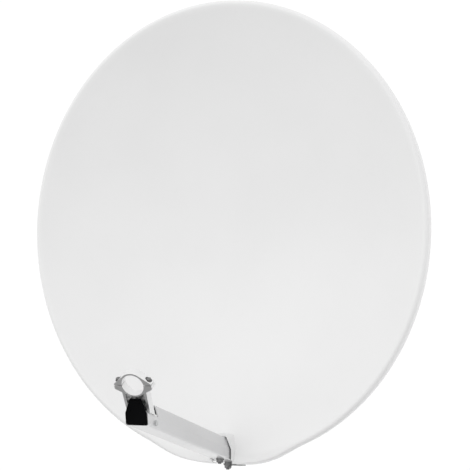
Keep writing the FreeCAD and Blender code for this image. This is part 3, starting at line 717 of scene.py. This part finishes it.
    def neck(self, inset: float, finish: bpy.types.Material) -> bpy.types.Object:
        """Solid of the drawn neck.

        Args:
            inset: distance that its walls move inwards, for its hollow.
            finish: material of the tool.

        Returns:
            The closed object.
        """
        space = self.space
        stations = list(self.neck_lip)
        for k in range(1, self.neck_steps + 1):
            share = k / self.neck_steps
            depth = self.neck_lip[-1][0] + share * self.neck_deep
            stations.append((depth, self.neck_flare * share ** self.neck_curve))
        rings = []
        for depth, flare in stations:
            n = self.neck_stand - depth - inset
            grow = self.slot_gap + self.neck_wall + flare - inset
            corners = self.section.corners(-grow)
            corners[0] = (corners[0][0], inset)
            corners[-1] = (corners[-1][0], inset)
            outline = self.soft_top(corners)
            shift = space.root_v + n * math.tan(space.arm_slope)
            rings.append([space.at(x, shift + up, n) for x, up in outline])
        if inset > 0.0:
            pairs = zip(rings[-1], rings[-2])
            rings.append([last + (last - before) * self.hollow_reach for last, before in pairs])
        work = bmesh.new()
        MeshMaker.loft(work, rings)
        return MeshMaker.piece("neck_tool", work, finish)

    def soft_top(self, corners: Sequence[Pair]) -> list[Pair]:
        """Rounds the shoulders and roof and leaves the feet sharp.

        Args:
            corners: corner points of the section.

        Returns:
            The neck's outline.
        """
        points_per_corner = self.section.arc_steps + 1
        rounded = self.section.rounded(corners, self.neck_round)
        return [corners[0]] + rounded[points_per_corner:-points_per_corner] + [corners[-1]]

    def slot(self, finish: bpy.types.Material) -> bpy.types.Object:
        """Prism of the slot, open below.

        Args:
            finish: material of the tool.

        Returns:
            The closed object.
        """
        outline = self.section.rounded(self.section.corners(-self.slot_gap), self.slot_round)
        outline = [(x, up - self.slot_below if up < 0.0 else up) for x, up in outline]
        work = bmesh.new()
        MeshMaker.loft(work, [[self.space.arm(x, along, up) for x, up in outline]
                              for along in self.slot_ends])
        return MeshMaker.piece("slot_tool", work, finish)

    def build(self, finish: bpy.types.Material) -> bpy.types.Object:
        """Cuts the slot and neck into the sheet.

        Args:
            finish: the paint.

        Returns:
            The finished sheet, riding on the dish.
        """
        sheet = self.shell(finish)
        MeshMaker.carve(sheet, self.neck(0.0, finish), "UNION")
        MeshMaker.carve(sheet, self.neck(self.sheet, finish), "DIFFERENCE")
        MeshMaker.carve(sheet, self.slot(finish), "DIFFERENCE")
        for polygon in sheet.data.polygons:
            polygon.use_smooth = True
        sheet.data.set_sharp_from_angle(angle=math.radians(40.0))
        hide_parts("reflector")
        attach(sheet, "dish")
        return sheet


@dataclass
class EndCap:
    """Moulded plug with a bevelled, slightly dished face."""

    space: DishSpace
    section: ArmSection
    front: float = 425.0 * MM
    lean: float = 0.43
    steps_mm: tuple[Triple, ...] = (
        (2.5, -8.8, 1.2), (2.5, 0.0, 1.2), (0.25, 0.1, 2.8), (0.2, 0.35, 2.8), (0.2, 1.9, 2.8),
        (0.35, 2.35, 2.7), (0.75, 2.75, 2.5), (1.3, 3.0, 2.2), (2.6, 3.0, 1.8), (3.0, 2.8, 1.6),
        (3.3, 2.3, 1.5), (3.8, 2.15, 1.4))
    marks_mm: tuple[tuple[float, float, float, float], ...] = ((6.0, 36.0, 2.0, 1.4), (-11.0, 24.0, 1.4, 2.4))
    mark_steps_mm: tuple[Pair, ...] = ((1.6, 0.0), (2.7, 0.0), (2.95, 0.35))

    def loop(self, inset: float, forward: float, radius: float) -> list[Vector]:
        """House outline in the cap's leaning plane."""
        outline = self.section.rounded(self.section.corners(inset), radius)
        return [self.space.arm(x, self.front + forward + self.lean * up, up) for x, up in outline]

    def build(self, finish: bpy.types.Material) -> bpy.types.Object:
        """Lofts the cap through its steps of inset, way forward and corner radius.

        Args:
            finish: the cap's material.

        Returns:
            The finished cap, riding on the dish.
        """
        work = bmesh.new()
        MeshMaker.loft(work, [self.loop(inset * MM, forward * MM, radius * MM)
                              for inset, forward, radius in self.steps_mm])
        self.raise_marks(work)
        cap = MeshMaker.piece("end_cap", work, finish, sharp=50.0)
        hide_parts("arm_end_cap")
        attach(cap, "dish")
        return cap

    def raise_marks(self, work: bmesh.types.BMesh) -> None:
        """Two small raised pads on the face: x, height, half width and half height of each.

        Args:
            work: bmesh that takes the pads.
        """
        for x, up, half, tall in self.marks_mm:
            rings = []
            for forward, shrink in self.mark_steps_mm:
                a, b = (half - shrink) * MM, (tall - shrink) * MM
                ring = []
                for dx, dz in ((-a, -b), (a, -b), (a, b), (-a, b)):
                    height = up * MM + dz
                    along = self.front + forward * MM + self.lean * height
                    ring.append(self.space.arm(x * MM + dx, along, height))
                rings.append(ring)
            MeshMaker.loft(work, rings)


@dataclass
class BoltSet:
    """Bolts rebuilt with cut threads on the places of a CAD node's solids."""

    node: str
    body: str
    radius: float
    pitch: float
    head: Head
    head_half: float
    head_tall: float
    threaded: float = 1.0
    around: int = 28
    rows_per_turn: int = 5
    tooth_depth: float = 0.5
    run_out: float = 1.5
    end_share: float = 0.8
    end_growth: float = 0.12
    head_around: int = 48
    hex_steps: tuple[Pair, ...] = ((-1.0, 0.90), (-0.93, 0.955), (-0.82, 1.0), (-0.04, 1.0), (0.0, 0.985))
    dome_steps: int = 8
    dome_start: float = 0.06
    weld: float = 1.0 * MICRON
    end_band: float = 0.1 * MM

    def islands(self) -> list[tuple[Vector, Vector, float]]:
        """Finds the node's bolts.

        Returns:
            Each solid's axis start, at the head's outer end, its direction and its length.
        """
        source = bmesh.new()
        source.from_mesh(frame["nodes"][self.node].data)
        bmesh.ops.remove_doubles(source, verts=source.verts, dist=self.weld)
        left = set(source.verts)
        found = []
        while left:
            stack, island = [left.pop()], []
            while stack:
                vert = stack.pop()
                island.append(vert.co.copy())
                for edge in vert.link_edges:
                    other = edge.other_vert(vert)
                    if other in left:
                        left.remove(other)
                        stack.append(other)
            found.append(self.axis(island))
        source.free()
        return sorted(found, key=lambda item: tuple(round(c, 5) for c in item[0]))

    def axis(self, points: Sequence[Vector]) -> tuple[Vector, Vector, float]:
        """Axis of one bolt.

        Args:
            points: the solid's points.

        Returns:
            The middle of the wider end, the direction to the other end and the length.
        """
        def middle(direction: Vector) -> Vector:
            """Middle of the points' box across a direction.

            Args:
                direction: a possible axis.

            Returns:
                The middle, with no part along the direction.
            """
            flat = [p - direction * p.dot(direction) for p in points]
            mean = Vector([(min(p[i] for p in flat) + max(p[i] for p in flat)) / 2.0 for i in range(3)])
            return mean - direction * mean.dot(direction)

        def spread(direction: Vector) -> float:
            """Largest distance of a point from the axis."""
            axis = middle(direction)
            return max((p - direction * p.dot(direction) - axis).length for p in points)

        direction = min((Vector(a) for a in self.directions()), key=spread)
        spans = [p.dot(direction) for p in points]
        near, far = min(spans), max(spans)

        def slab(value: float) -> list[Vector]:
            """Points of one end."""
            return [p for p in points if abs(p.dot(direction) - value) < self.end_band]

        def width(group: Sequence[Vector]) -> float:
            """Largest distance of the group from its middle."""
            core = sum(group, Vector()) / len(group)
            return max((p - core).length for p in group)

        if width(slab(near)) >= width(slab(far)):
            return middle(direction) + direction * near, direction, far - near
        return middle(direction) + direction * far, -direction, far - near

    @staticmethod
    def directions() -> list[Triple]:
        """Directions in which the object's bolts can point.

        Returns:
            The row frame's axes, the dish's normal, the arm's up and the ring's up.
        """
        space = DishSpace()
        turn = space.turn.to_3x3()
        arm_up = space.arm(0.0, 0.0, 1.0) - space.arm(0.0, 0.0, 0.0)
        ring_up = turn @ Matrix.Rotation(space.ring_tilt, 3, "X") @ Vector((0.0, 0.0, 1.0))
        return [(1.0, 0.0, 0.0), (0.0, 1.0, 0.0), (0.0, 0.0, 1.0), tuple(turn @ Vector((0.0, 1.0, 0.0))),
                tuple(arm_up.normalized()), tuple(ring_up)]

    def shank(self, length: float) -> list[list[Vector]]:
        """Cuts the thread.

        Args:
            length: from the head's seat to the end.

        Returns:
            Rings of the shank, from the head's seat to the chamfered end.
        """
        thread = length * self.threaded
        rows = max(8, int(thread / self.pitch * self.rows_per_turn))
        rings = []
        stations = [(0.0, 0.0)] + [(length - thread + thread * k / rows, 1.0) for k in range(rows + 1)]
        for height, cut in stations:
            fade = min(1.0, (length - height) / (self.pitch * self.run_out)) if cut else 0.0
            ring = []
            for k in range(self.around):
                phase = height / self.pitch - k / self.around
                tooth = abs((phase % 1.0) * 2.0 - 1.0)
                radius = self.radius - self.pitch * self.tooth_depth * tooth * cut
                if fade < 1.0:
                    radius = self.radius * (self.end_share + self.end_growth * fade)
                ring.append(self.turned(radius, k, self.around, height))
            rings.append(ring)
        return rings

    @staticmethod
    def turned(radius: float, k: int, count: int, height: float) -> Vector:
        """Point k of a circle of count points, at a height along the bolt."""
        angle = 2.0 * math.pi * k / count
        return Vector((radius * math.cos(angle), radius * math.sin(angle), height))

    def head_rings(self) -> list[list[Vector]]:
        """Chamfered hexagon, or a dome.

        Returns:
            Rings of the head, from its outer end to its seat at zero.
        """
        if self.head is Head.HEX:
            return [self.hexagon(height * self.head_tall, chamfer) for height, chamfer in self.hex_steps]
        rings = []
        for step in range(self.dome_steps + 1):
            share = self.dome_start + (1.0 - self.dome_start) * step / self.dome_steps
            radius = self.head_half * math.sin(math.pi / 2.0 * share)
            height = -self.head_tall * math.cos(math.pi / 2.0 * share)
            rings.append([self.turned(radius, k, self.head_around, height) for k in range(self.head_around)])
        return rings

    def hexagon(self, height: float, chamfer: float) -> list[Vector]:
        """One ring of a hexagon head.

        Args:
            height: its place along the bolt.
            chamfer: share of the corners' radius that is left.

        Returns:
            The ring's points.
        """
        limit = self.head_half / math.cos(math.pi / 6.0) * chamfer
        ring = []
        for k in range(self.head_around):
            within = (2.0 * math.pi * k / self.head_around) % (math.pi / 3.0) - math.pi / 6.0
            radius = min(self.head_half / math.cos(within), limit)
            ring.append(self.turned(radius, k, self.head_around, height))
        return ring

    def build(self, finish: bpy.types.Material, slot: str) -> bpy.types.Object:
        """Puts a head and a shank on each of the node's places.

        Args:
            finish: the bolts' material.
            slot: the record's slot that it stands for; not used.

        Returns:
            The finished bolts as one piece that replaces the node.
        """
        work = bmesh.new()
        for start, direction, length in self.islands():
            place = Matrix.Translation(start + direction * self.head_tall)
            place = place @ Vector((0, 0, 1)).rotation_difference(direction).to_matrix().to_4x4()
            MeshMaker.loft(work, [[place @ p for p in ring] for ring in self.head_rings()])
            MeshMaker.loft(work, [[place @ p for p in ring] for ring in self.shank(length - self.head_tall)])
        made = MeshMaker.piece(self.node + "_cut", work, finish, sharp=40.0)
        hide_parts(self.node)
        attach(made, self.body)
        return made


@dataclass
class Studio:
    """Pale floor, soft light and the camera."""

    target: Vector = field(default_factory=lambda: Vector((0.03045, -0.2318, 0.00855)))
    distance: float = 2.513
    azimuth: float = math.radians(19.987)
    elevation: float = math.radians(1.716)
    roll: float = math.radians(-1.961)
    lens: float = 95.17
    sensor: float = 36.0
    floor_drop: float = 0.35
    floor_back: float = 0.35
    floor_size: float = 30.0
    floor_light: Colour = (0.90, 0.90, 0.90)
    floor_dark: Colour = (0.87, 0.87, 0.87)
    floor_glow: float = 0.1
    floor_grain: float = 0.5
    floor_roughness: float = 0.9
    sun_from: Triple = (-0.3, -0.95, 0.05)
    sun_strength: float = 0.5
    sun_width: float = math.radians(70.0)
    sky_light: Colour = (1.03, 1.03, 1.03)
    sky_dark: Colour = (0.22, 0.22, 0.22)
    sky_height: Pair = (-0.25, -0.5)
    sky_side: Pair = (0.1, -0.2)

    def camera(self) -> None:
        """Camera at the viewing angle, focused on the whole dish."""
        away = Vector((math.sin(self.azimuth) * math.cos(self.elevation),
                       -math.cos(self.azimuth) * math.cos(self.elevation), math.sin(self.elevation)))
        ahead = -away
        right = ahead.cross(Vector((0, 0, 1))).normalized()
        above = right.cross(ahead)
        side = right * math.cos(self.roll) + above * math.sin(self.roll)
        top = above * math.cos(self.roll) - right * math.sin(self.roll)
        data = bpy.data.cameras.new("camera")
        data.lens = self.lens
        data.sensor_width = self.sensor
        data.dof.use_dof = False
        made = bpy.data.objects.new("camera", data)
        basis = Matrix((side, top, away)).transposed().to_4x4()
        made.matrix_world = Matrix.Translation(self.target + away * self.distance) @ basis
        bpy.context.scene.collection.objects.link(made)
        bpy.context.scene.camera = made

    def floor(self) -> None:
        """Plain pale floor well below the dish."""
        half, near = self.floor_size / 2.0, CAD_BOX[0][1] + self.floor_back
        level = CAD_BOX[0][2] - self.floor_drop
        work = bmesh.new()
        corners = ((-half, near), (half, near), (half, half), (-half, half))
        work.faces.new([work.verts.new((x, y, level)) for x, y in corners])
        net = Surface("floor_paper")
        grain = net.noise(self.floor_grain, detail=2.0)
        net.shade({"Base Color": net.blend(grain, self.floor_light, self.floor_dark),
                   "Roughness": self.floor_roughness, "Specular IOR Level": 0.1,
                   "Emission Color": (1.0, 1.0, 1.0), "Emission Strength": self.floor_glow})
        floor = MeshMaker.piece("floor", work, net.material)

    def sun(self) -> None:
        """Distant light, very soft."""
        data = bpy.data.lights.new("soft_sun", "SUN")
        data.energy = self.sun_strength
        data.angle = self.sun_width
        made = bpy.data.objects.new("soft_sun", data)
        made.rotation_euler = Vector(self.sun_from).to_track_quat("Z", "Y").to_euler()
        bpy.context.scene.collection.objects.link(made)

    def sky(self) -> None:
        """White surroundings, darker low down behind the camera."""
        world = bpy.data.worlds.new("surround")
        world.use_nodes = True
        net = NodeNet(world.node_tree, "Background")
        where = net.node("ShaderNodeTexCoord", {}, {}, "Generated")
        low = net.node("ShaderNodeSeparateXYZ", {}, {0: where}, "Z").ramp(*self.sky_height)
        front = net.node("ShaderNodeSeparateXYZ", {}, {0: where}, "Y").ramp(*self.sky_side)
        net.shade({"Color": net.blend(low * front, self.sky_light, self.sky_dark)})
        bpy.context.scene.world = world

    def build(self) -> None:
        """Everything that isn't the object."""
        self.camera()
        self.floor()
        self.sky()
        self.sun()
        bpy.context.scene.view_settings.view_transform = "Standard"


class Wardrobe:
    """The finishes of the object and the nodes that wear them."""

    def __init__(self) -> None:
        """Makes every material once."""
        finishes: dict[str, Finish] = {
            "reflector_paint": PowderCoat("reflector_paint", (0.81, 0.81, 0.81), (0.775, 0.775, 0.775)),
            "arm_metal": PowderCoat("arm_metal", (0.66, 0.66, 0.665), (0.60, 0.60, 0.605), roughness=0.30,
                                    peel=0.0015, peel_depth=15.0 * MICRON, coat=0.5, metallic=0.8),
            "galvanised_steel": Galvanised("galvanised_steel"),
            "zinc_fasteners": Plated("zinc_fasteners", (0.60, 0.61, 0.61), (0.42, 0.43, 0.43)),
            "dark_fasteners": Plated("dark_fasteners", (0.22, 0.22, 0.22), (0.12, 0.12, 0.12),
                                     metallic=0.8, roughness=0.36),
            "cap_plastic": Moulded("cap_plastic", (0.0012, 0.0012, 0.0014), (0.003, 0.003, 0.0035),
                                   grain=0.0006, grain_depth=20.0 * MICRON, specular=0.04),
            "holder_plastic": Moulded("holder_plastic", (0.84, 0.84, 0.84), (0.76, 0.76, 0.76),
                                      roughness=0.26, grain_depth=10.0 * MICRON, specular=0.5, metallic=0.9),
            # edging_rubber is partly painted shade: the near-black edging round the arm slot also stands for
            # the shadow gap between the arm and the slot's edge.
            "edging_rubber": Moulded("edging_rubber", (0.12, 0.12, 0.12), (0.17, 0.17, 0.17),
                                     roughness=0.7, grain=0.0009),
            "scale_plate": Plated("scale_plate", (0.78, 0.78, 0.79), (0.66, 0.66, 0.68), roughness=0.36),
        }
        self.materials = {name: finish.material() for name, finish in finishes.items()}

    def dress(self, replaced: Iterable[str]) -> None:
        """Gives every node that still shows its own finish.

        Args:
            replaced: nodes that a new piece stands for.
        """
        skipped = set(replaced)
        for subpart in frame["record"]["subparts"]:
            node, slot = subpart["node"], subpart["material_slot"]
            if node in skipped:
                continue
            piece = frame["nodes"][node]
            for place in piece.material_slots:
                place.material = self.materials[slot]
            LOG.info("dressed %s in %s", node, slot)


def bolt_sets() -> list[tuple[BoltSet, str]]:
    """Bolt nodes with their sizes and finish slots.

    Returns:
        Each set of bolts with its slot.
    """
    # Thread radius, pitch, half the head's width and the head's height, in millimetres.
    m10, m8, m5 = (5.0, 1.5, 8.0, 6.4), (4.0, 1.25, 6.5, 5.3), (2.5, 0.8, 4.0, 3.5)
    m8_dome = (4.0, 1.25, 9.0, 4.4)
    rows = [("clamp_bolts", "mast_mount", m8_dome, Head.DOME, 0.8, "zinc_fasteners"),
            ("pivot_bolt", "mast_mount", m10, Head.HEX, 0.3, "zinc_fasteners"),
            ("lock_bolt", "dish", m8, Head.HEX, 0.35, "zinc_fasteners"),
            ("plate_bolts", "dish", m8, Head.HEX, 1.0, "zinc_fasteners"),
            ("stay_bolts", "dish", m8, Head.HEX, 1.0, "zinc_fasteners"),
            ("holder_bolt", "dish", m5, Head.HEX, 0.4, "zinc_fasteners"),
            ("arm_bolts", "dish", m8, Head.HEX, 1.0, "dark_fasteners"),
            ("clamp_screws", "clamp_cap", m5, Head.HEX, 1.0, "dark_fasteners")]
    sets = []
    for node, body, (radius, pitch, half, tall), head, threaded, slot in rows:
        made = BoltSet(node, body, radius * MM, pitch * MM, head, half * MM, tall * MM, threaded)
        sets.append((made, slot))
    return sets


def main() -> None:
    """Builds the sub-assemblies in order."""
    logging.basicConfig(level=logging.INFO)
    wardrobe = Wardrobe()
    Studio().build()
    space, section = DishSpace(), ArmSection()
    replaced = ["reflector", "arm_end_cap"]
    Reflector(space, section).build(wardrobe.materials["reflector_paint"])
    LOG.info("built the reflector sheet")
    EndCap(space, section).build(wardrobe.materials["cap_plastic"])
    LOG.info("built the end cap")
    for bolts, slot in bolt_sets():
        bolts.build(wardrobe.materials[slot], slot)
        replaced.append(bolts.node)
        LOG.info("cut the threads of %s", bolts.node)
    wardrobe.dress(replaced)


if __name__ == "__main__":
    main()
